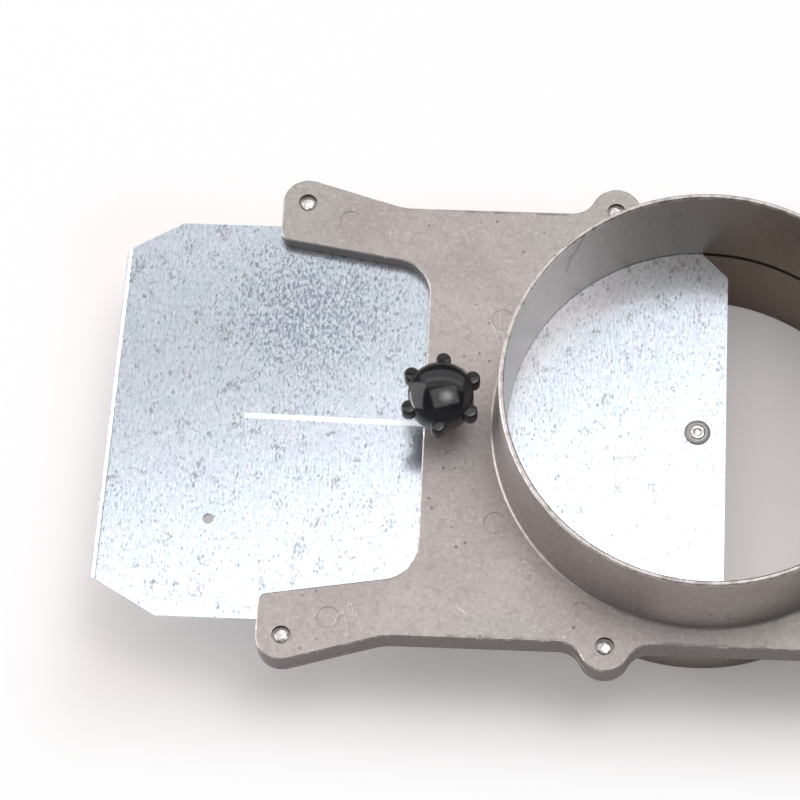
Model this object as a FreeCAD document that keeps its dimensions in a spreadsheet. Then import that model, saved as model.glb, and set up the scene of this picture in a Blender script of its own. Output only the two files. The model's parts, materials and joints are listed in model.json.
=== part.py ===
import FreeCAD, Part
import math
import os
import re

import Sketcher

# A blast gate for a 100 mm duct: two die-cast halves riveted together, a sheet steel
# gate that slides between them, and a star knob on a stud that locks the gate.
# The frame: origin on the duct's axis at the rim of the lower collar, +Z up through
# the duct, +X the way the gate closes. All lengths are in millimetres.

SIZES = {
    "collar_radius": 50.0,
    "rim_wall": 1.2,
    "bore_taper": 0.8,
    "upper_collar_length": 27.0,
    "lower_collar_length": 28.0,
    "collar_draft": 1.65,
    "collar_land": 5.0,
    "collar_base_bevel": 0.4,
    "rim_bevel": 0.3,
    "lower_plate": 2.9,
    "upper_roof": 3.75,
    "edge_bevel": 0.3,
    "parting_bevel": 0.35,
    "gate_thickness": 1.2,
    "gate_face_gap": 0.15,
    "gate_side_gap": 0.25,
    "gate_side_cover": 3.85,
    "channel_wall": 4.1,
    "channel_end_gap": 0.5,
    "end_wall": 5.0,
    "notch_setback": 20.3,
    "notch_fillet": 9.0,
    "arm_rivet_reach": 31.6,
    "arm_tip_overlap": 5.35,
    "arm_root_overlap": 11.5,
    "arm_tip_fillet": 2.5,
    "arm_slope": 16.3,
    "knee_blend": 15.0,
    "ear_radius": 6.2,
    "ear_blend": 6.0,
    "rivet_outset": 0.65,
    "middle_rivet_back": 22.75,
    "corner_rivet_inset": 3.0,
    "rivet_shank_radius": 1.5,
    "rivet_hole_gap": 0.05,
    "rivet_head_radius": 3.4,
    "rivet_head_height": 1.5,
    "rivet_head_bevel": 0.9,
    "rivet_end_radius": 1.85,
    "rivet_end_bevel": 0.4,
    "rivet_end_recess": 0.3,
    "counterbore_radius": 2.3,
    "counterbore_depth": 1.3,
    "mark_radius": 2.7,
    "mark_depth": 0.12,
    "mark_circle_radius": 56.65,
    "mark_angle": 59.7,
    "side_mark_angle": 28.1,
    "arm_mark_back": 11.0,
    "arm_mark_inset": 4.75,
    "lock_mark_back": 3.4,
    "lock_mark_side": 10.8,
    "gate_opening_left": 46.3,
    "front_chamfer": 10.4,
    "handle_reach": 31.6,
    "handle_skew": 1.8,
    "tail_chamfer": 15.2,
    "tail_angle": 30.0,
    "lip_depth": 8.0,
    "bend_inner_radius": 0.5,
    "tail_hole_radius": 1.35,
    "tail_hole_inset": 26.5,
    "tail_hole_side": 26.7,
    "stop_setback": 6.9,
    "stop_flange_radius": 3.2,
    "stop_flange_height": 0.9,
    "stop_ring_radius": 2.1,
    "stop_ring_depth": 0.2,
    "stop_barrel_radius": 1.6,
    "stop_barrel_gap": 0.05,
    "stop_bulge_radius": 2.5,
    "stop_bulge_length": 2.6,
    "stop_bulge_round": 1.05,
    "stop_flange_edge": 0.27,
    "mandrel_radius": 0.9,
    "mandrel_gap": 0.05,
    "mandrel_recess": 0.35,
    "mandrel_head_radius": 1.5,
    "mandrel_head_length": 1.2,
    "mandrel_end_radius": 0.9,
    "lock_inset": 4.4,
    "stud_radius": 3.0,
    "stud_gap": 0.05,
    "stud_tip_radius": 0.65,
    "stud_tip_length": 2.0,
    "stud_rest_gap": 0.1,
    "stud_in_knob": 9.0,
    "knob_gap": 7.1,
    "boss_radius": 5.0,
    "boss_length": 4.0,
    "hub_radius": 7.9,
    "hub_length": 6.0,
    "hub_shoulder": 0.9,
    "dome_radius": 14.0,
    "lobe_radius": 1.8,
    "lobe_outset": 0.6,
    "lobe_length": 4.5,
    "lobe_bevel": 0.45,
    "lobe_turn": 2.0,
}
LOBE_COUNT = 6

# Places and sizes that follow from the driving ones, as formulas on their names.
THROAT_RADIUS = "(collar_radius - rim_wall - bore_taper)"
RIM_INNER_RADIUS = "(collar_radius - rim_wall)"
COLLAR_ROOT = "(collar_radius + collar_draft)"
GATE_HALF = f"({THROAT_RADIUS} + gate_side_cover)"
CHANNEL_HALF = f"({GATE_HALF} + gate_side_gap)"
CHANNEL_DEPTH = "(gate_thickness + 2 * gate_face_gap)"
UPPER_PLATE = f"({CHANNEL_DEPTH} + upper_roof)"
BODY_HALF = f"({CHANNEL_HALF} + channel_wall)"
RIVET_SIDE = f"({BODY_HALF} + rivet_outset)"
SPLIT_LEVEL = "(lower_collar_length + lower_plate)"
BODY_TOP = f"({SPLIT_LEVEL} + {UPPER_PLATE})"
GATE_TOP = f"({SPLIT_LEVEL} + gate_face_gap + gate_thickness)"
CLOSED_FRONT = f"({THROAT_RADIUS} - stop_flange_radius + stop_setback)"
CHANNEL_END = f"({CLOSED_FRONT} + channel_end_gap)"
BODY_END = f"({CHANNEL_END} + end_wall)"
NOTCH = f"(-{THROAT_RADIUS} - notch_setback)"
ARM_RIVET = f"({NOTCH} - arm_rivet_reach)"
ARM_TIP = f"({ARM_RIVET} - ear_radius)"
CORNER_RIVET = f"({BODY_END} - corner_rivet_inset)"
RIVET_PLACES = [ARM_RIVET, "(-middle_rivet_back)", CORNER_RIVET]
RIVET_HOLE = "(rivet_shank_radius + rivet_hole_gap)"
GATE_FRONT = f"({CLOSED_FRONT} - gate_opening_left)"
GATE_LENGTH = f"({CLOSED_FRONT} - {NOTCH} + handle_reach)"
GATE_TAIL = f"({GATE_FRONT} - {GATE_LENGTH})"
STOP_PLACE = f"({GATE_FRONT} - stop_setback)"
BEND_OUTER = "(bend_inner_radius + gate_thickness)"
LOCK_PLACE = f"({NOTCH} + lock_inset)"
KNOB_BOTTOM = f"({BODY_TOP} + knob_gap)"
STUD_BOTTOM = f"({GATE_TOP} + stud_rest_gap)"
LOBE_CIRCLE = "(hub_radius + lobe_outset)"

# Ejector pin marks, in pairs either side of the centre line.
MARK_PLACES = [
    (f"({ARM_RIVET} + arm_mark_back)", f"({RIVET_SIDE} - arm_mark_inset)"),
    (f"({LOCK_PLACE} + lock_mark_back)", "lock_mark_side"),
    ("(-mark_circle_radius * cos(side_mark_angle))", "mark_circle_radius * sin(side_mark_angle)"),
    ("(-mark_circle_radius * cos(mark_angle))", "mark_circle_radius * sin(mark_angle)"),
    ("mark_circle_radius * cos(mark_angle)", "mark_circle_radius * sin(mark_angle)"),
]

os.makedirs("parts", exist_ok=True)
doc = FreeCAD.newDocument("BlastGate")
sheet = doc.addObject("Spreadsheet::Sheet", "Sizes")
for row, (alias, value) in enumerate(SIZES.items(), 1):
    sheet.set(f"A{row}", alias)
    sheet.set(f"B{row}", str(value))
    sheet.setAlias(f"B{row}", alias)
doc.recompute()


def formula(text):
    """Turn the size names in a formula into references to the sheet's cells."""
    return re.sub(r"[a-z_]{3,}", lambda word: "Sizes." + word.group()
                  if word.group() in SIZES else word.group(), text)


def bind(thing, values):
    for target, text in values.items():
        thing.setExpression(target, formula(text))


def new_body(label):
    body = doc.addObject("PartDesign::Body", label)
    body.Label = label
    return body


def new_sketch(body, name, role="XY_Plane", lift=None):
    sketch = body.newObject("Sketcher::SketchObject", name)
    plane = [item for item in body.Origin.OriginFeatures if item.Role == role][0]
    sketch.AttachmentSupport = [(plane, "")]
    sketch.MapMode = "FlatFace"
    if lift:
        bind(sketch, {"AttachmentOffset.Base.z": lift})
    return sketch


def pin_point(sketch, item, end, across, along):
    """Hold one point of the sketch at two formulas, counted from its origin."""
    for kind, axis, text in (("DistanceX", -2, across), ("DistanceY", -1, along)):
        if text == "0":
            sketch.addConstraint(Sketcher.Constraint("PointOnObject", item, end, axis))
        else:
            value = sketch.evalExpression(formula(text))
            number = sketch.addConstraint(Sketcher.Constraint(kind, -1, 1, item, end, value))
            bind(sketch, {f"Constraints[{number}]": text})


def flare(start, end):
    """The arc that leaves its start upright and bends outwards to its end."""
    leap = end - start
    radius = leap.Length ** 2 / (2 * leap.x)
    ring = Part.Circle(start + FreeCAD.Vector(radius, 0, 0), FreeCAD.Vector(0, 0, 1), radius)
    return Part.ArcOfCircle(ring, ring.parameter(start), ring.parameter(end))


def polygon(sketch, points, flared_side=None):
    """Draw a closed outline whose corners lie at the formulas."""
    first = sketch.GeometryCount
    count = len(points)
    drawn = [FreeCAD.Vector(*(sketch.evalExpression(formula(text)) for text in point), 0)
             for point in points]
    for step, start in enumerate(drawn):
        end = drawn[(step + 1) % count]
        sketch.addGeometry(flare(start, end) if step == flared_side else Part.LineSegment(start, end))
    for step, (across, along) in enumerate(points):
        after = first + (step + 1) % count
        sketch.addConstraint(Sketcher.Constraint("Coincident", first + step, 2, after, 1))
        pin_point(sketch, first + step, 1, across, along)
    if flared_side:
        arc = first + flared_side
        sketch.addConstraint(Sketcher.Constraint("Horizontal", arc, 3, arc, 1))


def circle(sketch, across, along, radius):
    item = sketch.addGeometry(Part.Circle(FreeCAD.Vector(1, 1, 0), FreeCAD.Vector(0, 0, 1), 1))
    pin_point(sketch, item, 3, across, along)
    number = sketch.addConstraint(Sketcher.Constraint("Radius", item, 1.0))
    bind(sketch, {f"Constraints[{number}]": radius})


def extrude(body, kind, name, sketch, length=None, reverse=False):
    """Pad or pocket a sketch, through everything when no length is given."""
    sketch.Visibility = False
    feature = body.newObject("PartDesign::" + kind, name)
    feature.Profile = sketch
    feature.Reversed = reverse
    if length:
        bind(feature, {"Length": length})
    else:
        feature.Type = "ThroughAll"
    doc.recompute()
    return feature


def cut_through(body, name, sketch):
    """Cut a sketch's shape through everything, on both sides of its plane."""
    feature = extrude(body, "Pocket", name, sketch)
    feature.Midplane = True
    doc.recompute()
    return feature


def revolve(body, kind, name, points, flared_side=None):
    """Turn an outline, given as radius and height, about the body's own Z axis."""
    sketch = new_sketch(body, name + "_outline", "XZ_Plane")
    polygon(sketch, points, flared_side)
    feature = body.newObject("PartDesign::" + kind, name)
    feature.Profile = sketch
    feature.ReferenceAxis = (sketch, ["V_Axis"])
    feature.Angle = 360.0
    doc.recompute()
    return feature


def ball_cap(body, name, ball_radius, cap_radius, base):
    """Add the cap of a ball that is as wide as cap_radius where it starts."""
    depth = f"sqrt({ball_radius} ^ 2 - {cap_radius} ^ 2)"
    cap = body.newObject("PartDesign::AdditiveSphere", name)
    cap.AttachmentSupport = [(item, "") for item in body.Origin.OriginFeatures
                             if item.Role == "XY_Plane"]
    cap.MapMode = "FlatFace"
    bind(cap, {"AttachmentOffset.Base.z": f"{base} - {depth}",
               "Radius": ball_radius, "Angle1": f"acos({cap_radius} / {ball_radius})"})
    cap.Angle2 = 90.0
    doc.recompute()
    return cap


def fillet(body, name, base, edges, radius):
    feature = body.newObject("PartDesign::Fillet", name)
    feature.Base = (base, edges)
    bind(feature, {"Radius": radius})
    doc.recompute()
    return feature


def bevel(body, name, base, edges, width):
    feature = body.newObject("PartDesign::Chamfer", name)
    feature.Base = (base, edges)
    bind(feature, {"Size": width})
    doc.recompute()
    return feature


def edge_names(shape, wanted):
    """Names of the edges for which the test holds."""
    return [f"Edge{number}" for number, edge in enumerate(shape.Edges, 1) if wanted(edge)]


def close(first, second):
    return abs(first - second) < 1e-4


def upright_at(edge, across, along):
    """Tell whether an edge runs along Z at this place."""
    ends = [vertex.Point for vertex in edge.Vertexes]
    return (len(ends) == 2 and not close(ends[0].z, ends[1].z)
            and all(close(end.x, across) and close(end.y, along) for end in ends))


def is_arc(edge):
    return not edge.Degenerated and isinstance(edge.Curve, Part.Circle)


def ring_at(edge, radius, height):
    """Tell whether an edge is a circle about the body's own axis."""
    return (is_arc(edge) and close(edge.Curve.Radius, radius)
            and close(edge.Curve.Center.z, height) and close(edge.Curve.Center.x, 0)
            and close(edge.Curve.Center.y, 0))


def size(feature, target):
    """The number that a bound length has come to."""
    return getattr(feature, target).Value


def corners(sketch):
    return [line.StartPoint for line in sketch.Geometry if isinstance(line, Part.LineSegment)]


def plate_outline():
    """Corners of a half's plate, from its closed end round to the notch and back."""
    slope_rise = "ear_radius * cos(arm_slope)"
    arm_top = f"({RIVET_SIDE} + {slope_rise})"
    arm_top_place = f"({ARM_RIVET} + ear_radius * sin(arm_slope))"
    knee = f"({arm_top_place} + ({arm_top} - {BODY_HALF}) / tan(arm_slope))"
    near = [
        (BODY_END, BODY_HALF),
        (knee, BODY_HALF),
        (arm_top_place, arm_top),
        (ARM_TIP, RIVET_SIDE),
        (ARM_TIP, f"({CHANNEL_HALF} - arm_tip_overlap)"),
        (NOTCH, f"({CHANNEL_HALF} - arm_root_overlap)"),
    ]
    return near + [(across, "-" + along) for across, along in reversed(near)]


def casting(label, plate, collar):
    """One die-cast half, built outwards from the plane where the halves meet."""
    body = new_body(label)
    outline = new_sketch(body, label + "_outline")
    polygon(outline, plate_outline())
    slab = extrude(body, "Pad", label + "_slab", outline, plate)
    discs = new_sketch(body, label + "_ear_outline")
    for across in RIVET_PLACES:
        for side in (RIVET_SIDE, "-" + RIVET_SIDE):
            circle(discs, across, side, "ear_radius")
    ears = extrude(body, "Pad", label + "_ears", discs, plate)

    def on_ear(x, y):
        return any(close(math.hypot(x - ear.Center.x, y - ear.Center.y), ear.Radius)
                   for ear in discs.Geometry)

    end_corner, knee, _, _, arm_corner, notch_corner = corners(outline)[:6]
    blends = (
        ("knees", "knee_blend", lambda x, y: close(x, knee.x) and close(y, knee.y)),
        ("arm_tips", "arm_tip_fillet", lambda x, y: close(x, arm_corner.x) and close(y, arm_corner.y)),
        ("notch", "notch_fillet", lambda x, y: close(x, notch_corner.x) and close(y, notch_corner.y)),
        ("ear_blends", "ear_blend",
         lambda x, y: (close(y, end_corner.y) or close(x, end_corner.x)) and on_ear(x, y)),
    )
    last = ears
    for name, radius, chosen in blends:
        edges = edge_names(last.Shape, lambda edge: upright_at(
            edge, edge.Vertexes[0].X, edge.Vertexes[0].Y)
            and chosen(edge.Vertexes[0].X, abs(edge.Vertexes[0].Y)))
        last = fillet(body, f"{label}_{name}", last, edges, radius)

    rim_level = f"({plate} + {collar})"
    tube = revolve(body, "Revolution", label + "_collar", [
        ("0", rim_level),
        ("collar_radius", rim_level),
        ("collar_radius", f"({rim_level} - collar_land)"),
        (COLLAR_ROOT, plate),
        (COLLAR_ROOT, "0"),
        ("0", "0"),
    ], flared_side=2)
    height = size(slab, "Length")
    top = max((face for face in tube.Shape.Faces if close(face.BoundBox.ZMin, height)
               and close(face.BoundBox.ZMax, height)), key=lambda face: face.Area)
    rim = edge_names(tube.Shape, lambda edge: any(edge.isSame(other) for other in top.OuterWire.Edges))
    beveled = bevel(body, label + "_edge_bevel", tube, rim, "edge_bevel")
    root_radius = SIZES["collar_radius"] + SIZES["collar_draft"]
    root = edge_names(beveled.Shape, lambda edge: ring_at(edge, root_radius, height))
    rooted = bevel(body, label + "_collar_base", beveled, root, "collar_base_bevel")
    parting = max((face for face in rooted.Shape.Faces if close(face.BoundBox.ZMax, 0)),
                  key=lambda face: face.Area)
    seam = edge_names(rooted.Shape, lambda edge: any(edge.isSame(other)
                                                     for other in parting.OuterWire.Edges))
    bevel(body, label + "_parting_bevel", rooted, seam, "parting_bevel")
    bore = revolve(body, "Groove", label + "_bore", [
        ("0", "0"),
        (THROAT_RADIUS, "0"),
        (RIM_INNER_RADIUS, rim_level),
        ("0", rim_level),
    ])
    reach = max(vertex.Z for vertex in tube.Shape.Vertexes)
    lips = edge_names(bore.Shape, lambda edge: is_arc(edge) and close(edge.Curve.Center.z, reach))
    bevel(body, label + "_rim_bevel", bore, lips, "rim_bevel")

    holes = new_sketch(body, label + "_rivet_hole_outline")
    for across in RIVET_PLACES:
        for side in (RIVET_SIDE, "-" + RIVET_SIDE):
            circle(holes, across, side, RIVET_HOLE)
    extrude(body, "Pocket", label + "_rivet_holes", holes, reverse=True)
    return body


def upper_casting():
    body = casting("upper_casting", UPPER_PLATE, "upper_collar_length")
    bind(body, {"Placement.Base.z": SPLIT_LEVEL})

    channel = new_sketch(body, "channel_outline")
    corner = f"({CHANNEL_END} - front_chamfer)"
    shoulder = f"({CHANNEL_HALF} - front_chamfer)"
    polygon(channel, [
        (f"({ARM_TIP} - ear_radius)", CHANNEL_HALF),
        (f"({ARM_TIP} - ear_radius)", "-" + CHANNEL_HALF),
        (corner, "-" + CHANNEL_HALF),
        (CHANNEL_END, "-" + shoulder),
        (CHANNEL_END, shoulder),
        (corner, CHANNEL_HALF),
    ])
    extrude(body, "Pocket", "gate_channel", channel, CHANNEL_DEPTH, reverse=True)

    counterbores = new_sketch(body, "counterbore_outline", lift=UPPER_PLATE)
    for across in RIVET_PLACES:
        for side in (RIVET_SIDE, "-" + RIVET_SIDE):
            circle(counterbores, across, side, "counterbore_radius")
    extrude(body, "Pocket", "counterbores", counterbores, "counterbore_depth")

    lock_hole = new_sketch(body, "lock_hole_outline")
    circle(lock_hole, LOCK_PLACE, "0", "stud_radius + stud_gap")
    extrude(body, "Pocket", "lock_hole", lock_hole, reverse=True)

    marks = new_sketch(body, "ejector_mark_outline", lift=UPPER_PLATE)
    for across, along in MARK_PLACES:
        for side in (along, "-" + along):
            circle(marks, across, side, "mark_radius")
    extrude(body, "Pocket", "ejector_marks", marks, "mark_depth")
    return body


def lower_casting():
    body = casting("lower_casting", "lower_plate", "lower_collar_length")
    body.Placement = FreeCAD.Placement(FreeCAD.Vector(), FreeCAD.Rotation(FreeCAD.Vector(1, 0, 0), 180))
    bind(body, {"Placement.Base.z": SPLIT_LEVEL})
    return body


def body_rivet(number, across, along):
    """A rivet with a round head below and its upset end in the counterbore above."""
    body = new_body(f"body_rivet_{number}")
    seat = f"(lower_plate + {UPPER_PLATE} - counterbore_depth)"
    end = f"(lower_plate + {UPPER_PLATE} - rivet_end_recess)"
    pin = revolve(body, "Revolution", f"rivet_{number}_pin", [
        ("0", "-rivet_head_height"),
        ("rivet_head_radius", "-rivet_head_height"),
        ("rivet_head_radius", "0"),
        ("rivet_shank_radius", "0"),
        ("rivet_shank_radius", seat),
        ("rivet_end_radius", seat),
        ("rivet_end_radius", f"({end} - rivet_end_bevel)"),
        ("(rivet_end_radius - rivet_end_bevel)", end),
        ("0", end),
    ])
    head = edge_names(pin.Shape, lambda edge: ring_at(
        edge, SIZES["rivet_head_radius"], -SIZES["rivet_head_height"]))
    bevel(body, f"rivet_{number}_head", pin, head, "rivet_head_bevel")
    bind(body, {"Placement.Base.x": across, "Placement.Base.y": along,
                "Placement.Base.z": "lower_collar_length"})
    return body


def gate_plate():
    """The sliding plate, with its tail edge bent down as a finger lip."""
    body = new_body("gate_plate")
    section = new_sketch(body, "gate_section", "XZ_Plane")
    section.AttachmentOffset = FreeCAD.Placement(
        FreeCAD.Vector(), FreeCAD.Rotation(FreeCAD.Vector(0, 1, 0), -SIZES["handle_skew"]))
    bind(section, {"AttachmentOffset.Base.x": GATE_TAIL,
                   "AttachmentOffset.Rotation.Angle": "-handle_skew"})
    far_end = f"({GATE_LENGTH} + {GATE_HALF})"
    polygon(section, [
        ("0", "0"),
        ("0", "-lip_depth"),
        ("gate_thickness", "-lip_depth"),
        ("gate_thickness", "-gate_thickness"),
        (far_end, "-gate_thickness"),
        (far_end, "0"),
    ])
    bent = extrude(body, "Pad", "bent_sheet", section, f"3 * {GATE_HALF}")
    bent.Midplane = True
    doc.recompute()
    for name, level, radius in (("bend_outside", 0.0, BEND_OUTER),
                                ("bend_inside", -SIZES["gate_thickness"], "bend_inner_radius")):
        across = [edge for edge in bent.Shape.Edges
                  if all(close(vertex.Z, level) for vertex in edge.Vertexes)]
        fold = min(across, key=lambda edge: edge.CenterOfMass.x)
        bent = fillet(body, name, bent, edge_names(bent.Shape, fold.isSame), radius)

    slope = "tan(tail_angle)"
    skew = "tan(handle_skew)"
    side_reach = f"({GATE_HALF} - {slope} * tail_chamfer)"
    far_corner = f"({side_reach} / (1 - {slope} * {skew}))"
    near_corner = f"({side_reach} / (1 + {slope} * {skew}))"
    nose = f"({GATE_HALF} - front_chamfer)"
    margin = f"2 * {GATE_HALF}"
    outline = new_sketch(body, "blank_outline")
    polygon(outline, [
        (f"({GATE_TAIL} + {far_corner} * {skew})", far_corner),
        (f"({GATE_TAIL} - {near_corner} * {skew})", "-" + near_corner),
        (f"({GATE_TAIL} + tail_chamfer)", "-" + GATE_HALF),
        (f"({GATE_FRONT} - front_chamfer)", "-" + GATE_HALF),
        (GATE_FRONT, "-" + nose),
        (GATE_FRONT, nose),
        (f"({GATE_FRONT} - front_chamfer)", GATE_HALF),
        (f"({GATE_TAIL} + tail_chamfer)", GATE_HALF),
    ])
    polygon(outline, [
        (f"({GATE_TAIL} - {margin})", "-" + margin),
        (f"({GATE_FRONT} + {margin})", "-" + margin),
        (f"({GATE_FRONT} + {margin})", margin),
        (f"({GATE_TAIL} - {margin})", margin),
    ])
    cut_through(body, "blank", outline)

    lip_ends = new_sketch(body, "lip_end_outline", "YZ_Plane")
    drop = f"(lip_depth - {BEND_OUTER}) * {slope}"
    for side, corner in (("", far_corner), ("-", near_corner)):
        start = f"({corner} + gate_thickness * {slope})"
        polygon(lip_ends, [
            (side + start, f"-{BEND_OUTER}"),
            (f"{side}({start} - {drop})", "-lip_depth"),
            (f"{side}({start} + lip_depth)", "-lip_depth"),
            (f"{side}({start} + lip_depth)", f"-{BEND_OUTER}"),
        ])
    cut_through(body, "lip_ends", lip_ends)

    holes = new_sketch(body, "gate_hole_outline")
    circle(holes, STOP_PLACE, "0", "stop_barrel_radius + stop_barrel_gap")
    circle(holes, f"({GATE_TAIL} + tail_hole_inset)", "-tail_hole_side", "tail_hole_radius")
    cut_through(body, "gate_holes", holes)
    bind(body, {"Placement.Base.z": GATE_TOP})
    return body


def stop_rivet():
    """The blind rivet that stops the gate at both ends, with its tail swollen below."""
    body = new_body("stop_rivet")
    hole = "(mandrel_radius + mandrel_gap)"
    below = "(-gate_thickness)"
    revolve(body, "Revolution", "stop_rivet_barrel", [
        (hole, "stop_flange_height"),
        (hole, f"({below} - stop_bulge_length)"),
        ("stop_barrel_radius", f"({below} - stop_bulge_length)"),
        ("stop_bulge_radius", f"({below} - stop_bulge_length + stop_bulge_round)"),
        ("stop_bulge_radius", f"({below} - stop_bulge_round / 2)"),
        ("stop_barrel_radius", below),
        ("stop_barrel_radius", "0"),
        ("stop_flange_radius", "0"),
        ("stop_flange_radius", "stop_flange_edge"),
        ("(stop_ring_radius + stop_ring_depth)", "(stop_flange_height - stop_ring_depth)"),
        ("stop_ring_radius", "(stop_flange_height - 2 * stop_ring_depth)"),
        ("(stop_ring_radius - stop_ring_depth)", "stop_flange_height"),
    ])
    bind(body, {"Placement.Base.x": STOP_PLACE, "Placement.Base.z": GATE_TOP})
    return body


def stop_rivet_mandrel():
    body = new_body("stop_rivet_mandrel")
    seat = "(-gate_thickness - stop_bulge_length)"
    revolve(body, "Revolution", "mandrel_pin", [
        ("0", f"({seat} - mandrel_head_length)"),
        ("mandrel_end_radius", f"({seat} - mandrel_head_length)"),
        ("mandrel_head_radius", f"({seat} - mandrel_head_length / 2)"),
        ("mandrel_head_radius", seat),
        ("mandrel_radius", seat),
        ("mandrel_radius", "(stop_flange_height - mandrel_recess)"),
        ("0", "(stop_flange_height - mandrel_recess)"),
    ])
    bind(body, {"Placement.Base.x": STOP_PLACE, "Placement.Base.z": GATE_TOP})
    return body


def lock_stud():
    """The screwed stud, whose blunt point bears on the gate."""
    body = new_body("lock_stud")
    length = f"({KNOB_BOTTOM} + stud_in_knob - {STUD_BOTTOM})"
    revolve(body, "Revolution", "stud_bar", [
        ("0", "0"),
        ("stud_tip_radius", "0"),
        ("stud_radius", "stud_tip_length"),
        ("stud_radius", length),
        ("0", length),
    ])
    bind(body, {"Placement.Base.x": LOCK_PLACE, "Placement.Base.z": STUD_BOTTOM})
    return body


def lock_knob():
    """The moulded star knob: a boss, a domed hub and six round finger lobes."""
    body = new_body("lock_knob")
    hole = "(stud_radius + stud_gap)"
    hole_end = "(stud_in_knob + stud_gap)"
    shoulder = "(boss_length + hub_length)"
    dome_base = f"({shoulder} + hub_shoulder)"
    hub = revolve(body, "Revolution", "knob_hub", [
        (hole, "0"),
        ("boss_radius", "0"),
        ("boss_radius", "boss_length"),
        ("hub_radius", "boss_length"),
        ("hub_radius", shoulder),
        ("(hub_radius - hub_shoulder)", dome_base),
        ("0", dome_base),
        ("0", hole_end),
        (hole, hole_end),
    ])
    rims = edge_names(hub.Shape, lambda edge: ring_at(edge, SIZES["hub_radius"], SIZES["boss_length"])
                      or ring_at(edge, SIZES["boss_radius"], 0))
    bevel(body, "knob_rims", hub, rims, "lobe_bevel")
    ball_cap(body, "knob_dome", "dome_radius", "(hub_radius - hub_shoulder)", dome_base)
    seed = new_sketch(body, "lobe_outline", lift=shoulder)
    circle(seed, f"{LOBE_CIRCLE} * sin(lobe_turn)", f"{LOBE_CIRCLE} * cos(lobe_turn)",
           "lobe_radius")
    lobe = extrude(body, "Pad", "knob_lobe", seed, "lobe_length", reverse=True)
    lobes = body.newObject("PartDesign::PolarPattern", "knob_lobes")
    lobes.Originals = [lobe]
    lobes.Axis = (seed, ["N_Axis"])
    lobes.Angle = 360.0
    lobes.Occurrences = LOBE_COUNT
    body.Tip = lobes
    doc.recompute()
    ends = edge_names(lobes.Shape, lambda edge: is_arc(edge)
                      and close(edge.Curve.Radius, SIZES["lobe_radius"]))
    bevel(body, "lobe_edges", lobes, ends, "lobe_bevel")
    bind(body, {"Placement.Base.x": LOCK_PLACE, "Placement.Base.z": KNOB_BOTTOM})
    return body


pieces = [upper_casting(), lower_casting()]
number = 0
for place in RIVET_PLACES:
    for side in (RIVET_SIDE, "-" + RIVET_SIDE):
        number += 1
        pieces.append(body_rivet(number, place, side))
pieces += [gate_plate(), stop_rivet(), stop_rivet_mandrel(), lock_stud(), lock_knob()]
doc.recompute()

for item in doc.Objects:
    if {"Invalid", "Error"} & set(item.State):
        raise RuntimeError(f"{item.Label} did not build: {item.State}")
for piece in pieces:
    if piece.Shape.isNull() or not piece.Shape.isValid():
        raise RuntimeError(f"{piece.Label} has no valid shape")
for piece in pieces:
    piece.Shape.exportStep(f"parts/{piece.Label}.step")
    box = piece.Shape.BoundBox
    print(f"{piece.Label}: {piece.Shape.Volume:.1f} mm3, {len(piece.Shape.Solids)} solid, "
          f"x {box.XMin:.2f} to {box.XMax:.2f}, z {box.ZMin:.2f} to {box.ZMax:.2f}")
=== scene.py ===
import json
from math import asin, cos, pi, radians, sin

import bmesh
import bpy
from mathutils import Matrix, Vector, noise

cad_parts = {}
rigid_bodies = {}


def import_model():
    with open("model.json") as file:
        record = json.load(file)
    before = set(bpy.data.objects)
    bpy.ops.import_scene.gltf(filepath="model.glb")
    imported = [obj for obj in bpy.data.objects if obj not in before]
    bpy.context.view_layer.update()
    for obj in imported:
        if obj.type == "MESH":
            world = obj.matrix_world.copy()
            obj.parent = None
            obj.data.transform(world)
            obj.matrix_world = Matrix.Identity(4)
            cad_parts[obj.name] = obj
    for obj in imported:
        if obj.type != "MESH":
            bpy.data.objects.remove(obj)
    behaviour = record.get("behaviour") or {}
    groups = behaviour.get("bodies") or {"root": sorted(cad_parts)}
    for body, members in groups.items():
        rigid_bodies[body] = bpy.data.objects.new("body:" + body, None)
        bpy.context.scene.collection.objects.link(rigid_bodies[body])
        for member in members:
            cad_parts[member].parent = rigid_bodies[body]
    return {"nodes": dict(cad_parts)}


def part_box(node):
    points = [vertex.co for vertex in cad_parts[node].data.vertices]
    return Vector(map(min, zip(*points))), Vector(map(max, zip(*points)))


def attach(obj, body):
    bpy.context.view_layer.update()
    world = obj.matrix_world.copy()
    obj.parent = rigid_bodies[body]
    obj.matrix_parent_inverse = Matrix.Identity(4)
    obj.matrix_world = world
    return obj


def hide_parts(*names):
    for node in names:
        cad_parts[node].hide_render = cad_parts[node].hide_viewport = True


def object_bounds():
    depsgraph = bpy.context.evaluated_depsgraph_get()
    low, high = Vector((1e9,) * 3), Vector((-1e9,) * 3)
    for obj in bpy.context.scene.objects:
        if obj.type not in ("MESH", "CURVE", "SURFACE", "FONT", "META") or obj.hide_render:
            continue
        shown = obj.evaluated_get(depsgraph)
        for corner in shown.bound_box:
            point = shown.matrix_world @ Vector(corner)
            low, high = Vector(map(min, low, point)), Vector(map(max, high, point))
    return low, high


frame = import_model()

# A blast gate standing on its lower collar, seen from above under a large softbox. Finishes,
# floor, lamps and camera are in metres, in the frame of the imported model. Shapes are drawn in
# millimetres above their own foot, and come to metres as they are set down.

for leftover in [thing for thing in bpy.data.objects if thing.name in ("Cube", "Light", "Camera")]:
    bpy.data.objects.remove(leftover)
cad_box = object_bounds()
scene = bpy.context.scene

MM = 0.001
# keeps the dents in the rivets the same each time
DENT_SEED = 5

# The castings: heights, the bore, the long edges, and the marks on them. What follows a face
# fades out over a few hairs.

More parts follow.
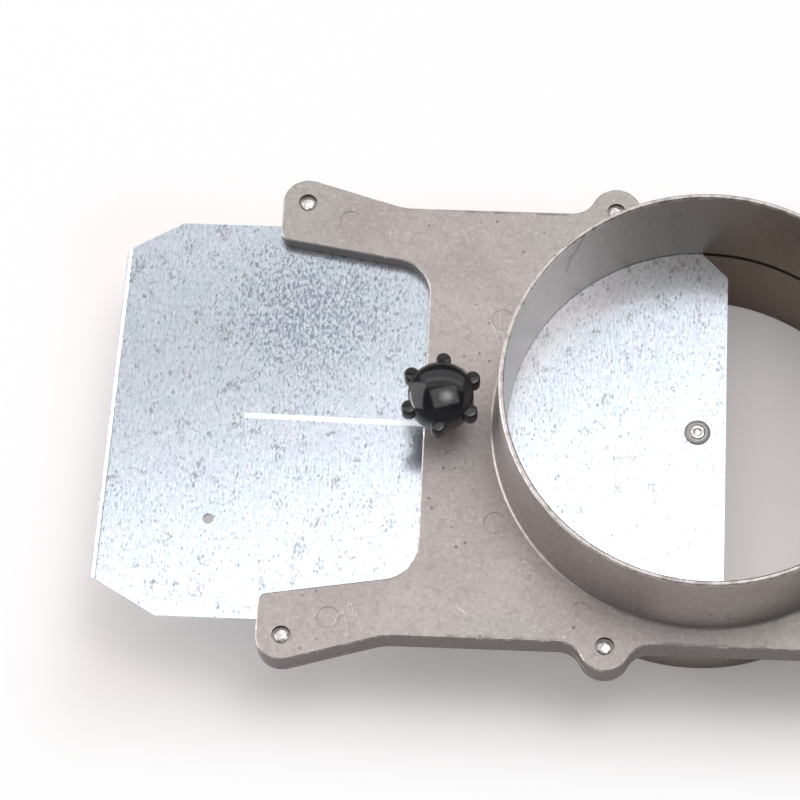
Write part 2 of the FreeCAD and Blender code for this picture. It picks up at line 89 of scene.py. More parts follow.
COLLAR_TOP = cad_box[1][2]
BODY_TOP = 36.15 * MM
CHANNEL_ROOF = 32.4 * MM
PLATE_BELOW = 28.0 * MM
BORE_WALL = 49.0 * MM
SIDE_EDGE = 56.2 * MM
HAIR = 0.1 * MM
EDGE_RUNS = ((-62 * MM, -36 * MM), (-8 * MM, 40 * MM))
PIN_RADIUS = 2.7 * MM
PIN_LINE = 0.06 * MM
PINS = [(-88.90 * MM, 52.10 * MM), (-60.50 * MM, 10.80 * MM), (-49.97 * MM, 26.68 * MM),
        (-28.58 * MM, 48.91 * MM), (28.58 * MM, 48.91 * MM)]
BORE_RUBS = [(Vector((-31.1, 38.2, 62.8)) * MM, Vector((-33.2, 35.4, 56.0)) * MM),
             (Vector((-33.6, 35.0, 57.5)) * MM, Vector((-34.6, 34.0, 51.5)) * MM)]
RUB_WIDTH = 1.2 * MM
RUB_SWAY = 1.2 * MM

# The gate: where its flecks crowd, and the track rubbed along it

CROWD_X, CROWD_Y = -97.5 * MM, 29.0 * MM
CROWD_LENGTH, CROWD_WIDTH = 24 * MM, 22 * MM
TRACK_START, TRACK_END = -112.1 * MM, -56.0 * MM
TRACK_OFFSET, TRACK_SLANT = 0.593 * MM, -0.017
TRACK_HALF_WIDTH = 0.55 * MM

# Colours, as red, green, blue and cover, and how rough the metals are

CAST_DEEP = (0.384, 0.342, 0.330, 1)
CAST_PALE = (0.456, 0.408, 0.397, 1)
CAST_COOL = (0.404, 0.383, 0.357, 1)
CAST_DARK = (0.300, 0.276, 0.265, 1)
CAST_BRIGHT = (0.520, 0.490, 0.475, 1)
# dark tone of the pits, pin rings and scuffs, also used for the painted shadow at the bore's foot
CAST_PIT_AND_SHADOW = (0.160, 0.150, 0.145, 1)
# pale tone of the rubbed lines, also used for the painted highlight on the top edge
CAST_RUB_AND_HIGHLIGHT = (0.80, 0.79, 0.78, 1)
# dark tone for the painted shade on the castings' sides, also laid on the trimmed band along the
# long edges
CAST_SHADE_AND_TRIM = (0.150, 0.139, 0.134, 1)
# a darker, warmer tone painted into the bore for the shade inside it
CAST_BORE_SHADE = (0.276, 0.206, 0.152, 1)
# pale tone of the painted highlight along the collar's lip
CAST_LIP_HIGHLIGHT = (0.66, 0.63, 0.61, 1)
CAST_ROUGH = 0.54
BORE_SMOOTHER = 0.15
ZINC_DEEP = (0.745, 0.805, 0.90, 1)
ZINC_PALE = (0.855, 0.905, 0.975, 1)
ZINC_BLUE = (0.70, 0.80, 0.865, 1)
ZINC_VIOLET = (0.78, 0.78, 0.90, 1)
ZINC_STREAK = (0.60, 0.655, 0.745, 1)
ZINC_FLECK = (0.230, 0.275, 0.345, 1)
ZINC_SPARK = (0.99, 0.995, 1.0, 1)
ZINC_DULL = (0.33, 0.34, 0.36, 1)
ZINC_RUBBED = (1.0, 1.0, 1.0, 1)
SHEET_ROUGH = 0.20
RIVET_DEEP = (0.52, 0.50, 0.48, 1)
RIVET_PALE = (0.80, 0.78, 0.76, 1)
RIVET_HOLLOW = (0.34, 0.32, 0.31, 1)
RIVET_DULL = (0.40, 0.39, 0.39, 1)
STUD_DEEP = (0.50, 0.49, 0.46, 1)
STUD_PALE = (0.72, 0.71, 0.68, 1)
PLASTIC_DEEP = (0.008, 0.008, 0.010, 1)
PLASTIC_PALE = (0.014, 0.013, 0.016, 1)
PLASTIC_DUST = (0.10, 0.10, 0.105, 1)
FLOOR_WHITE = (0.99, 0.92, 0.905, 1)
STUDIO_WHITE = (0.98, 0.98, 1.0, 1)
WHITE = (1, 1, 1, 1)


# Shader sums

class Field:
    """An output socket that takes part in arithmetic and can feed further nodes."""

    def __init__(self, tree, socket):
        self.tree = tree
        self.socket = socket

    def node(self, kind, settings=None, values=None, output=0):
        """Add any other node: its settings first, then the values or links of its sockets."""
        made = self.tree.nodes.new(kind)
        for name, value in (settings or {}).items():
            setattr(made, name, value)
        for name, value in (values or {}).items():
            self.feed(made.inputs[name], value)
        return Field(self.tree, made.outputs[output])

    def feed(self, entry, value):
        """Link a field to a socket, or set a plain value on it."""
        if isinstance(value, Field):
            self.tree.links.new(value.socket, entry)
        else:
            entry.default_value = value

    def math(self, operation, *values, clamp=False):
        return self.node("ShaderNodeMath", {"operation": operation, "use_clamp": clamp},
                         dict(enumerate(values or (self,))))

    def vector(self, operation, values, output="Vector"):
        return self.node("ShaderNodeVectorMath", {"operation": operation}, values, output)

    def __add__(self, other):
        return self.math("ADD", self, other)

    def __radd__(self, other):
        return self.math("ADD", other, self)

    def __sub__(self, other):
        return self.math("SUBTRACT", self, other)

    def __rsub__(self, other):
        return self.math("SUBTRACT", other, self)

    def __mul__(self, other):
        return self.math("MULTIPLY", self, other)

    def __rmul__(self, other):
        return self.math("MULTIPLY", other, self)

    def __truediv__(self, other):
        return self.math("DIVIDE", self, other)

    def larger(self, other):
        return self.math("MAXIMUM", self, other)

    def magnitude(self):
        return self.math("ABSOLUTE", self)

    def reach(self, aside):
        """The length of two offsets at right angles."""
        return (self * self + aside * aside).math("SQRT")

    def step(self, low, high, soft=True):
        """Rise from 0 at low to 1 at high; falls when low is the larger."""
        return self.node("ShaderNodeMapRange",
                         {"interpolation_type": "SMOOTHSTEP" if soft else "LINEAR"},
                         {"Value": self, "From Min": low, "From Max": high})

    def within(self, low, high, soft):
        """A band that is 1 from low to high and fades outside over a soft width."""
        return self.step(low - soft, low) * self.step(high + soft, high)

    def noise(self, scale, detail=2.0, roughness=0.5, stretch=None, distortion=0.0):
        """Noise over a place, with scale in cells per metre, drawn out where stretch is under 1."""
        place = self
        if stretch:
            place = self.node("ShaderNodeMapping", None, {"Vector": self, "Scale": stretch})
        return place.node("ShaderNodeTexNoise", None, {
            "Vector": place, "Scale": scale, "Detail": detail, "Roughness": roughness,
            "Distortion": distortion})

    def cells(self, scale):
        """How far a place is from the nearest of points that are strewn scale to the metre."""
        return self.node("ShaderNodeTexVoronoi", None, {"Vector": self, "Scale": scale})

    def stroke(self, start, end, width, sway):
        """A soft line across this place from start to end, wandering a little."""
        run = end - start
        middle_sway = Vector((0.5, 0.5, 0.5)) * sway
        wander = self.vector("SCALE", {0: self.noise(220), "Scale": sway})
        gone = self.vector("ADD", {0: self, 1: wander})
        gone = self.vector("SUBTRACT", {0: gone, 1: start + middle_sway})
        share = self.vector("DOT_PRODUCT", {0: gone, 1: run / run.length_squared}, "Value")
        share = share.math("ADD", share, 0.0, clamp=True)
        near = self.vector("SCALE", {0: run, "Scale": share})
        return self.vector("DISTANCE", {0: gone, 1: near}, "Value").step(width, 0.3 * width)

    def blend(self, first, second):
        """Mix two colours by this field."""
        return self.node("ShaderNodeMix", {"data_type": "RGBA"}, {0: self, 6: first, 7: second},
                         output=2)

    def coated(self, *coats):
        """This colour under coats laid on in turn, each a cover and its colour."""
        tone = self
        for cover, colour in coats:
            tone = cover.blend(tone, colour)
        return tone


class Finish:
    """A material with one Principled shader, described by fields over the object's place."""

    def __init__(self, name):
        self.material = bpy.data.materials.new(name)
        self.material.use_nodes = True
        self.tree = self.material.node_tree
        self.shader = self.tree.nodes["Principled BSDF"]
        start = Field(self.tree, None)
        self.place = start.node("ShaderNodeTexCoord", output="Object")
        axes = self.place.node("ShaderNodeSeparateXYZ", None, {0: self.place})
        self.x, self.y, self.z = (Field(self.tree, axis) for axis in axes.socket.node.outputs)
        normal = start.node("ShaderNodeNewGeometry", output="Normal")
        self.normal_z = start.node("ShaderNodeSeparateXYZ", None, {0: normal}, output="Z")

    def set(self, **values):
        """Give the shader its values; underscores stand for the spaces in socket names."""
        for name, value in values.items():
            self.place.feed(self.shader.inputs[name.replace("_", " ")], value)

    def relief(self, *layers):
        """Bump layers, each a height field and its depth in metres, stacked in turn."""
        values = {}
        for height, depth in layers:
            values.update(Height=height, Distance=depth, Strength=1.0)
            values["Normal"] = self.place.node("ShaderNodeBump", None, values)
        self.set(Normal=values["Normal"])


# Materials

def pin_rings(finish, top_face):
    """Thin dark rings where the ejector pins stood, broken here and there."""
    lines = []
    for along, aside in PINS:
        reach = (finish.x - along).reach(finish.y.magnitude() - aside)
        lines.append(reach.within(PIN_RADIUS - PIN_LINE, PIN_RADIUS + PIN_LINE, 0.16 * MM))
    ring = lines[0]
    for line in lines[1:]:
        ring = ring.larger(line)
    return ring * top_face * (0.15 + 0.85 * finish.place.noise(260).step(0.42, 0.62))


def cast_aluminium():
    """Die-cast aluminium: warm matte grey, faintly clouded and speckled, with pits and rubs,
    painted shade on its sides and in its bore, and painted highlights on its edges.
    """
    finish = Finish("cast_aluminium_as_cast")
    place, height, upwards = finish.place, finish.z, finish.normal_z
    cloud = place.noise(45, 4, 0.62)
    stain = place.noise(14)
    speck = place.noise(1000, 3, 0.65)
    mottle = place.noise(420, 3, 0.6)
    fine = place.noise(3600, 2, 0.6)
    pits = place.cells(330).step(0.17, 0.07) * place.noise(70).step(0.52, 0.60)
    thread = place.noise(90, 2, 0.5, (1.0, 0.35, 0.6), 1.5)
    rub = thread.within(0.5, 0.502, 0.0035) * place.noise(110).step(0.60, 0.68)
    tone = cloud.step(0.34, 0.66, soft=False).blend(CAST_DEEP, CAST_PALE).coated(
        (stain.step(0.48, 0.62) * 0.75, CAST_COOL),
        (mottle.step(0.50, 0.34) * 0.35, CAST_DARK),
        (speck.step(0.48, 0.30) * 0.45, CAST_DARK),
        (speck.step(0.52, 0.70) * 0.55, CAST_BRIGHT),
        (pits * 0.6, CAST_PIT_AND_SHADOW),
        (rub * 0.8, CAST_RUB_AND_HIGHLIGHT))

    # painted shade: the plates' sides are darkened against their faces, and the bore is darkened
    # and warmed, with a painted shadow at its foot; the bore is also smoother than either
    bore = finish.x.reach(finish.y).step(BORE_WALL + 0.4 * MM, BORE_WALL)
    upright = upwards.magnitude().step(0.55, 0.30)
    plate_side_shade = upright * height.within(PLATE_BELOW, BODY_TOP, HAIR) * (1.0 - bore)
    # painted shadow: a dark band at the foot of the bore, where the gate's channel meets it
    bore_foot_shadow = bore * height.within(CHANNEL_ROOF - 2 * HAIR, CHANNEL_ROOF + 4 * HAIR, 2 * HAIR)
    tone = tone.coated((plate_side_shade * 0.72, CAST_SHADE_AND_TRIM),
                       (bore * 0.62, CAST_BORE_SHADE),
                       (bore_foot_shadow * 0.85, CAST_PIT_AND_SHADOW))
    for start, end in BORE_RUBS:
        scuff = place.stroke(start, end, RUB_WIDTH, RUB_SWAY) * bore
        tone = tone.coated((scuff * 0.6, CAST_PIT_AND_SHADOW))
    # painted shade: the collar's outer wall is darkened a little too
    collar_side_shade = upright * height.step(BODY_TOP, BODY_TOP + 2 * MM) * (1.0 - bore)

    # a dull trimmed band along the long edges, and bright marks on the corner itself: partly
    # chipped wear, partly painted highlight of the edge
    top_face = upwards.step(0.90, 0.97) * height.within(BODY_TOP - 3 * HAIR, BODY_TOP + HAIR, HAIR)
    trimmed = finish.y.magnitude().within(SIDE_EDGE - 0.7 * MM, SIDE_EDGE + 0.2 * MM, 0.4 * MM)
    left_run, right_run = (finish.x.within(low, high, 3 * MM) for low, high in EDGE_RUNS)
    trimmed = trimmed * top_face * left_run.larger(right_run)
    chip_and_highlight = upwards.within(0.45, 0.90, 0.05) * height.within(BODY_TOP - 4 * HAIR, BODY_TOP, HAIR)
    chip_and_highlight = chip_and_highlight * place.noise(420, 3, 0.65).step(0.55, 0.62)

    # a pale painted highlight along the collar's lip, broken up by noise
    lip_highlight = height.step(COLLAR_TOP - 1.2 * MM, COLLAR_TOP - 0.4 * MM)
    lip_highlight = lip_highlight * place.noise(500, 3, 0.6).step(0.36, 0.56)
    tone = tone.coated((collar_side_shade * 0.12, CAST_SHADE_AND_TRIM),
                       (pin_rings(finish, top_face) * 0.45, CAST_PIT_AND_SHADOW),
                       (trimmed * place.noise(240, 3, 0.6).step(0.42, 0.58) * 0.5, CAST_SHADE_AND_TRIM),
                       (chip_and_highlight * 0.8, CAST_RUB_AND_HIGHLIGHT),
                       (lip_highlight * 0.65, CAST_LIP_HIGHLIGHT))
    finish.set(Base_Color=tone, Metallic=1.0,
               Roughness=CAST_ROUGH - BORE_SMOOTHER * bore + 0.08 * (fine - 0.5) - 0.10 * rub)
    finish.relief((mottle, 0.03 * MM), (speck, 0.03 * MM), (fine, 0.012 * MM),
                  (1.0 - pits, 0.08 * MM))
    return finish.material


def galvanised_sheet():
    """Galvanised sheet: bluish, with flecks drawn out along the rolling and a rubbed track."""
    finish = Finish("galvanised_sheet")
    place = finish.place
    patch = place.noise(110, 4, 0.7)
    hue = place.noise(150, 3, 0.6, (1.0, 0.7, 1.0))
    streak = place.noise(1700, 2, 0.55, (1.0, 0.20, 1.0), 0.25)
    grain = place.noise(1550, 5, 0.72, (1.0, 0.48, 1.0), 0.5)

    # the flecks crowd together on one part of the gate
    over = (finish.x - CROWD_X) / CROWD_LENGTH
    aside = (finish.y - CROWD_Y) / CROWD_WIDTH
    loose = place.noise(190, 3, 0.6, (1.0, 0.6, 1.0)).step(0.40, 0.66)
    crowd = over.reach(aside).step(1.4, 0.1) * 1.5 + loose * 0.35
    fleck = (0.5 - grain + 0.070 * crowd).step(0.085, 0.155)
    smudge = place.noise(240, 3, 0.6, (1.0, 0.7, 1.0)).step(0.57, 0.65)

    # the track that the screw's point has rubbed along the middle of the gate
    along = finish.x + 0.1 * MM * (streak - 0.5)
    middle = TRACK_OFFSET + TRACK_SLANT * (finish.x - TRACK_START)
    beside = finish.y - middle + 0.3 * MM * (grain - 0.5)
    track = along.within(TRACK_START, TRACK_END, 0.6 * MM)
    track = track * beside.within(-TRACK_HALF_WIDTH, TRACK_HALF_WIDTH, 0.15 * MM)
    track = track * finish.normal_z.step(0.90, 0.95)
    tone = patch.blend(ZINC_DEEP, ZINC_PALE).coated(
        (hue.step(0.50, 0.64) * 0.55, ZINC_BLUE),
        (hue.step(0.50, 0.36) * 0.55, ZINC_VIOLET),
        (streak.step(0.54, 0.36) * 0.5, ZINC_STREAK),
        (grain.step(0.53, 0.40) * (0.30 + 0.45 * crowd), ZINC_STREAK),
        (fleck * 0.9, ZINC_FLECK),
        (grain.step(0.54, 0.67) * 0.75, ZINC_SPARK),
        (smudge * grain.step(0.54, 0.44) * 0.75, ZINC_DULL),
        (track * 0.95, ZINC_RUBBED))
    finish.set(Base_Color=tone, Metallic=1.0, Roughness=SHEET_ROUGH + 0.05 * fleck + 0.28 * track)
    finish.relief((streak, 0.006 * MM), (grain, 0.010 * MM))
    return finish.material


def rivet_metal(name, centre=None):
    """Rivet metal, dull in its hollows, and dull all round a centre where one is given."""
    finish = Finish(name)
    lump = finish.place.noise(900, 3, 0.6)
    speck = finish.place.noise(2600, 2, 0.6)
    tone = lump.step(0.35, 0.65).blend(RIVET_DEEP, RIVET_PALE)
    tone = tone.coated((speck.step(0.45, 0.28) * 0.5, RIVET_HOLLOW))
    rough = 0.26 + 0.22 * speck
    if centre:
        reach = (finish.x - centre.x).reach(finish.y - centre.y)
        flange = reach.step(1.85 * MM, 2.15 * MM)
        tone = tone.coated((flange * 0.8, RIVET_DULL))
        rough = rough + 0.20 * flange
    finish.set(Base_Color=tone, Metallic=1.0, Roughness=rough)
    finish.relief((lump, 0.06 * MM), (speck, 0.03 * MM))
    return finish.material


def zinc_plate():
    """Zinc plating on the stud, a little yellowed."""
    finish = Finish("zinc_plated_stud")
    speck = finish.place.noise(3000, 2, 0.6)
    finish.set(Base_Color=speck.blend(STUD_DEEP, STUD_PALE), Metallic=1.0,
               Roughness=0.24 + 0.16 * speck)
    finish.relief((speck, 0.02 * MM))
    return finish.material


def black_plastic():
    """Glossy black thermoset, duller on its upright sides, with fine dust."""
    finish = Finish("moulded_black_plastic")
    place = finish.place
    grain = place.noise(2600, 2, 0.6)
    swell = place.noise(300)
    dust = place.cells(1300).step(0.16, 0.05) * place.noise(400).step(0.52, 0.60)
    side = finish.normal_z.step(0.62, 0.40)
    tone = grain.blend(PLASTIC_DEEP, PLASTIC_PALE).coated((dust * 0.5, PLASTIC_DUST))
    finish.set(Base_Color=tone, Metallic=0.0, IOR=1.52,
               Roughness=0.07 + 0.10 * grain + 0.2 * dust + 0.20 * side)
    finish.relief((swell, 0.02 * MM), (grain, 0.005 * MM))
    return finish.material


CAST = cast_aluminium()
SHEET = galvanised_sheet()
RIVET = rivet_metal("bright_rivet_metal")
ZINC = zinc_plate()
PLASTIC = black_plastic()

finishes = {"upper_casting": CAST, "lower_casting": CAST, "gate_plate": SHEET, "lock_stud": ZINC,
            "lock_knob": PLASTIC}
for name, node in frame["nodes"].items():
    node.data.materials.clear()
    node.data.materials.append(finishes.get(name, RIVET))


# Shapes, in millimetres

def tidied(shape):
    """Close seams and poles, and point every face outwards."""
    bmesh.ops.remove_doubles(shape, verts=shape.verts, dist=0.002)
    bmesh.ops.dissolve_degenerate(shape, edges=shape.edges, dist=0.002)
    bmesh.ops.recalc_face_normals(shape, faces=shape.faces)
    return shape


def strung(shape, outline):
    """A row of edges through an outline of radius and height."""
    points = [shape.verts.new((radius, 0, height)) for radius, height in outline]
    return points + [shape.edges.new(pair) for pair in zip(points, points[1:])]


def turned(outline, segments):
    """A round piece: an outline of radius and height turned once about the Z axis."""
    shape = bmesh.new()
    bmesh.ops.spin(shape, geom=strung(shape, outline), cent=(0, 0, 0), axis=(0, 0, 1),
                   angle=2 * pi, steps=segments, use_merge=True)
    return tidied(shape)


def soften(shape, width, chosen=lambda middle: True):
    """Round the sharp edges whose middle passes the test."""
    edges = [edge for edge in shape.edges if edge.is_manifold
             and edge.calc_face_angle() > radians(25)
             and chosen((edge.verts[0].co + edge.verts[1].co) / 2)]
    bmesh.ops.bevel(shape, geom=edges, offset=width, segments=4, profile=0.5, affect="EDGES",
                    material=-1, clamp_overlap=True)


def hammered(shape, seed, level, depth, grain):
    """Dent what lies above a level, as a rivet's upset end is."""
    noise.seed_set(DENT_SEED)
    for vert in shape.verts:
        if vert.co.z > level:
            place = vert.co / grain + Vector((seed * 7.3, seed * 3.1, 0))
            vert.co += noise.noise_vector(place) * depth
            vert.co.z -= abs(noise.noise(place * 0.6)) * depth
    return shape


def seat_of(node):
    """The foot of a node's axis, in metres, and the node's height in millimetres."""
    low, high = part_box(node)
    return Vector(((low.x + high.x) / 2, (low.y + high.y) / 2, low.z)), (high.z - low.z) / MM


def finished(name, shape, foot, finish, slot, body, *nodes):
    """Set a shape down as a piece that rides on a body and stands for its CAD nodes."""
    bmesh.ops.scale(shape, verts=shape.verts, vec=(MM, MM, MM))
    bmesh.ops.translate(shape, verts=shape.verts, vec=foot)
    mesh = bpy.data.meshes.new(name)
    shape.to_mesh(mesh)
    shape.free()
    mesh.polygons.foreach_set("use_smooth", [True] * len(mesh.polygons))
    mesh.set_sharp_from_angle(angle=radians(32))
    mesh.materials.append(finish)
    piece = bpy.data.objects.new(name, mesh)
    scene.collection.objects.link(piece)
    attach(piece, body)
    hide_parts(*nodes)


def body_rivet(number):
    """A rivet with a round head below and its rough upset end in the counterbore above."""
    node = f"body_rivet_{number}"
    foot, top = seat_of(node)
    head, head_height, shank, seat, end, bulge = 3.4, 1.5, 1.5, 8.35, 1.68, 0.32
    crown = [(end * share, top - bulge * share ** 3)
             for share in (1.0, 0.84, 0.66, 0.48, 0.30, 0.14, 0)]
    outline = [(0, 0), (0.50 * head, 0.02), (0.72 * head, 0.12), (0.88 * head, 0.40),
               (0.97 * head, 0.85), (head, 1.25), (0.985 * head, head_height),
               (shank, head_height), (shank, seat), (0.98 * end, seat + 0.05), (end, top - 0.5)]
    shape = hammered(turned(outline + crown, 40), number, top - 0.7, 0.11, 0.75)
    finished(node + "_set", shape, foot, RIVET, "rivet_metal", "housing", node)


def stop_rivet():
    """A blind rivet: a pressed flange with the ring that the setting tool left."""
    foot, top = seat_of("stop_rivet")
    flange, hole, barrel, bulge, bulge_edge = 3.2, 0.95, 1.6, 2.5, 2.3
    sheet_below, sheet_top = 2.6, 3.8
    outline = [(hole, 0), (hole, top - 0.1), (1.1, top - 0.02), (1.35, top), (1.7, top - 0.06),
               (1.86, top - 0.18), (2.02, top - 0.32), (2.2, top - 0.29), (2.5, top - 0.36),
               (2.9, top - 0.53), (3.12, top - 0.65), (flange, top - 0.76), (3.18, sheet_top),
               (barrel, sheet_top), (barrel, sheet_below), (bulge_edge, 2.35),
               (bulge, 1.95), (bulge, 1.2), (bulge_edge, 0.6), (barrel, 0), (hole, 0)]
    shape = hammered(turned(outline, 56), 11, top - 0.28, 0.07, 0.9)
    dull = rivet_metal("dulled_rivet_flange", foot)
    finished("stop_rivet_set", shape, foot, dull, "rivet_metal", "gate", "stop_rivet")


def stop_rivet_mandrel():
    """What is left of the blind rivet's pull pin, snapped off inside the flange."""
    foot, top = seat_of("stop_rivet_mandrel")
    pin, head, head_height = 0.9, 1.5, 1.2
    outline = [(0, 0), (0.75, 0.02), (1.2, 0.25), (head, 0.6), (head, head_height),
               (pin, head_height), (pin, top - 0.25), (0.86, top - 0.08), (0.6, top),
               (0.3, top - 0.02), (0, top)]
    shape = hammered(turned(outline, 32), 17, top - 0.3, 0.09, 0.5)
    finished("stop_rivet_mandrel_snapped", shape, foot, RIVET, "rivet_metal", "gate",
             "stop_rivet_mandrel")


def threaded_stud():
    """The M6 stud: one turn of the thread's outline wound up, cut level, with a blunt point."""
    foot, top = seat_of("lock_stud")
    pitch, crest, root, steps = 1.0, 3.0, 2.39, 32
    point, point_length, end_taper = 0.65, 2.0, 0.4
    shape = bmesh.new()
    ridge = strung(shape, [(root, -pitch), (root, -0.875 * pitch), (crest, -0.53 * pitch),
                           (crest, -0.345 * pitch), (root, 0)])
    turns = int(top / pitch) + 3
    bmesh.ops.spin(shape, geom=ridge, cent=(0, 0, 0), axis=(0, 0, 1), angle=2 * pi * turns,
                   dvec=(0, 0, pitch / steps), steps=steps * turns)
    bmesh.ops.remove_doubles(shape, verts=shape.verts, dist=0.01)
    for level, above in ((0, False), (top, True)):
        cut = bmesh.ops.bisect_plane(shape, geom=shape.verts[:] + shape.edges[:] + shape.faces[:],
                                     dist=0.001, plane_co=(0, 0, level), plane_no=(0, 0, 1),
                                     clear_outer=above, clear_inner=not above)
        rim = [item for item in cut["geom_cut"] if isinstance(item, bmesh.types.BMEdge)]
        bmesh.ops.contextual_create(shape, geom=rim)
    for vert in shape.verts:
        for room in (point + (crest - point) * vert.co.z / point_length,
                     crest - end_taper + top - vert.co.z):
            reach = vert.co.xy.length
            if reach > room:
                vert.co.xy *= room / reach
    finished("lock_stud_threaded", tidied(shape), foot, ZINC, "zinc_plated_steel", "stud",
             "lock_stud")


def united(first, others):
    """Join closed shapes into one skin with an exact boolean."""
    keep = bpy.data.objects.new("union", bpy.data.meshes.new("union"))
    scene.collection.objects.link(keep)
    first.to_mesh(keep.data)
    first.free()
    for other in others:
        added = bpy.data.objects.new("added", bpy.data.meshes.new("added"))
        scene.collection.objects.link(added)
        other.to_mesh(added.data)
        other.free()
        join = keep.modifiers.new("join", "BOOLEAN")
        join.operation = "UNION"
        join.solver = "EXACT"
        join.object = added
        whole = keep.evaluated_get(bpy.context.evaluated_depsgraph_get())
        joined = bpy.data.meshes.new_from_object(whole)
        keep.modifiers.clear()
        keep.data = joined
        bpy.data.objects.remove(added)
    result = bmesh.new()
    result.from_mesh(keep.data)
    bpy.data.objects.remove(keep)
    return tidied(result)


def finger_lobe(number):
    """One of the six upright round lobes about the knob's hub."""
    radius, length, out, middle_height = 1.8, 4.5, 8.5, 7.75
    lobe = bmesh.new()
    bmesh.ops.create_cone(lobe, cap_ends=True, segments=40, radius1=radius, radius2=radius,
                          depth=length)
    soften(lobe, 0.45)
    angle = radians(2 + 60 * number)
    bmesh.ops.translate(lobe, verts=lobe.verts,
                        vec=(out * sin(angle), out * cos(angle), middle_height))
    return lobe


def lock_knob():
    """The moulded knob: boss, hub with a low dome, and six round finger lobes."""
    foot, top = seat_of("lock_knob")
    hole, hole_end, boss, boss_length, hub = 3.05, 9.05, 5.0, 4.0, 7.9
    shoulder, cap, dome = 10.0, 7.0, 14.0
    rim_angle = asin(cap / dome)
    crown = [(dome * sin(rim_angle * share), top - dome + dome * cos(rim_angle * share))
             for share in (1, 0.9, 0.8, 0.68, 0.56, 0.44, 0.32, 0.2, 0.1, 0)]
    knob = turned([(0, hole_end), (hole, hole_end), (hole, 0), (boss, 0), (boss, boss_length),
                   (hub, boss_length), (hub, shoulder)] + crown, 96)
    soften(knob, 0.4, lambda middle: middle.z < 0.5 or middle.xy.length > 7.5)
    knob = united(knob, [finger_lobe(number) for number in range(6)])
    finished("lock_knob_moulded", knob, foot, PLASTIC, "black_plastic", "knob", "lock_knob")


for number in range(1, 7):
    body_rivet(number)
stop_rivet()
stop_rivet_mandrel()
threaded_stud()
lock_knob()


# Floor, lamps, room and camera

def plain_floor():
    """A wide white floor that stays white to the camera and keeps the shadow."""
    middle_x, half_length, half_width, shadow_fades = -44.5 * MM, 101.5 * MM, 56 * MM, 30 * MM
    mesh = bpy.data.meshes.new("floor")
    shape = bmesh.new()
    bmesh.ops.create_grid(shape, x_segments=1, y_segments=1, size=4.0)
    shape.to_mesh(mesh)
    shape.free()
    floor = bpy.data.objects.new("floor", mesh)
    scene.collection.objects.link(floor)
    finish = Finish("white_floor")
    finish.set(Base_Color=FLOOR_WHITE, Roughness=0.9, Specular_IOR_Level=0.0)
    start = finish.place
    camera_ray, glossy_ray, clear_ray = (
        start.node("ShaderNodeLightPath", output=name)
        for name in ("Is Camera Ray", "Is Glossy Ray", "Is Transmission Ray"))
    glow = start.node("ShaderNodeEmission", None, {"Color": WHITE, "Strength": 1.0})
    lit = Field(finish.tree, finish.shader.outputs[0])
    # painted light: the floor glows to the camera, and in gloss, more the farther it lies from the
    # object's footprint, whitening it beyond the shadow
    across = ((finish.x - middle_x).magnitude() - half_length).larger(0.0)
    aside = (finish.y.magnitude() - half_width).larger(0.0)
    clear = across.reach(aside).step(0.0, shadow_fades)
    share = camera_ray * (0.19 + 0.75 * clear) + glossy_ray.larger(clear_ray) * (0.28 * clear)
    mixed = start.node("ShaderNodeMixShader", None, {0: share, 1: lit, 2: glow})
    start.feed(finish.tree.nodes["Material Output"].inputs["Surface"], mixed)
    mesh.materials.append(finish.material)


def softbox(name, shape, radiance, width, height, tilt=0, azimuth=0, turn=0, shift=(0, 0, 0)):
    """A flat lamp on a dome about the object, tilted from overhead, facing it."""
    dome, stand = 1.3, Vector((-0.03, 0.0, 0.03))
    lamp = bpy.data.lights.new(name, "AREA")
    lamp.shape = shape
    lamp.size = width
    lamp.size_y = height
    lamp.energy = pi * width * height * radiance * (pi / 4 if shape == "ELLIPSE" else 1)
    holder = bpy.data.objects.new(name, lamp)
    scene.collection.objects.link(holder)
    tilt, azimuth = radians(tilt), radians(azimuth)
    out = Vector((sin(tilt) * cos(azimuth), sin(tilt) * sin(azimuth), cos(tilt)))
    facing = Matrix.Identity(4)
    if tilt:
        facing = (-out).to_track_quat("-Z", "Y").to_matrix().to_4x4()
    holder.matrix_world = (Matrix.Translation(stand + out * dome + Vector(shift)) @ facing
                           @ Matrix.Rotation(radians(turn), 4, "Z"))


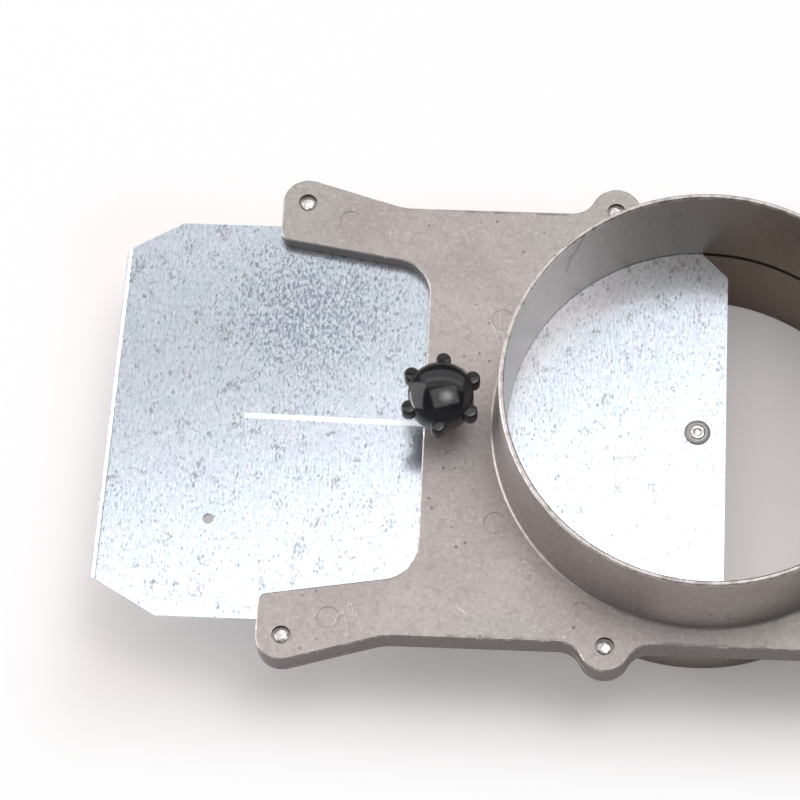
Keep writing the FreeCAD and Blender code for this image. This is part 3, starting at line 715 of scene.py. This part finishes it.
def lamps():
    """The overhead softbox with its brighter middle, a pale ceiling and walls, and side lamps."""
    # the flat lamps overhead hang a little below each other, so that all of them show in gloss
    softbox("overhead_softbox", "RECTANGLE", 1.60, 1.26, 0.87, turn=17, shift=(0.17, 0.135, 0))
    softbox("overhead_lamp_glow", "ELLIPSE", 2.1, 0.68, 0.56, turn=17, shift=(0.22, 0.12, -0.004))
    softbox("overhead_lamp_core", "ELLIPSE", 3.0, 0.34, 0.30, turn=17, shift=(0.23, 0.13, -0.008))
    softbox("pale_ceiling", "RECTANGLE", 0.76, 2.2, 0.75, shift=(0.15, 0.98, 0.012))
    softbox("pale_ceiling_corner", "RECTANGLE", 0.24, 0.42, 0.32, shift=(-0.44, 0.52, 0.015))
    softbox("back_wall", "RECTANGLE", 0.95, 1.9, 0.62, 51, 90)
    softbox("left_softbox", "RECTANGLE", 2.2, 1.3, 1.25, 62, 172)
    softbox("left_low_softbox", "RECTANGLE", 7.0, 0.8, 0.30, 84, 180)
    softbox("right_low_wall", "RECTANGLE", 1.3, 1.8, 0.35, 82, 5)


def pale_studio():
    """A dim room, white to the camera, and pale in gloss towards the front and low down."""
    world = bpy.data.worlds.new("studio")
    scene.world = world
    world.use_nodes = True
    background = world.node_tree.nodes["Background"]
    background.inputs["Color"].default_value = STUDIO_WHITE
    start = Field(world.node_tree, None)
    way = start.node("ShaderNodeTexCoord", output="Generated")
    backwards, upwards = (start.node("ShaderNodeSeparateXYZ", None, {0: way}, output=axis)
                          for axis in ("Y", "Z"))
    camera_ray, glossy_ray = (start.node("ShaderNodeLightPath", output=name)
                              for name in ("Is Camera Ray", "Is Glossy Ray"))
    pale = backwards.step(-0.15, -0.55) * 0.20 + upwards.step(0.40, 0.15) * 0.10
    start.feed(background.inputs["Strength"], camera_ray.larger(0.05) + glossy_ray * pale)


def photo_camera():
    """The camera at the photograph's place, turned and rolled as it was."""
    azimuth, elevation, roll = radians(6.788), radians(68.018), radians(-4.382)
    look_at, distance = Vector((-74.554, 5.989, 32.25)) * MM, 869.184 * MM
    picture_width, focal_length, film_width = 800, 3535.5, 36.0
    back = Vector((sin(azimuth) * cos(elevation), -cos(azimuth) * cos(elevation), sin(elevation)))
    forward = -back
    right = forward.cross(Vector((0, 0, 1))).normalized()
    up = right.cross(forward)
    rolled_right = right * cos(roll) + up * sin(roll)
    rolled_up = up * cos(roll) - right * sin(roll)
    lens = bpy.data.cameras.new("camera")
    lens.sensor_width = film_width
    lens.lens = focal_length / picture_width * film_width
    lens.clip_start = 0.01
    lens.clip_end = 50
    camera = bpy.data.objects.new("camera", lens)
    scene.collection.objects.link(camera)
    turn = Matrix((rolled_right, rolled_up, back)).transposed().to_4x4()
    camera.matrix_world = Matrix.Translation(look_at + back * distance) @ turn
    scene.camera = camera


plain_floor()
lamps()
pale_studio()
photo_camera()
scene.view_settings.view_transform = "Standard"
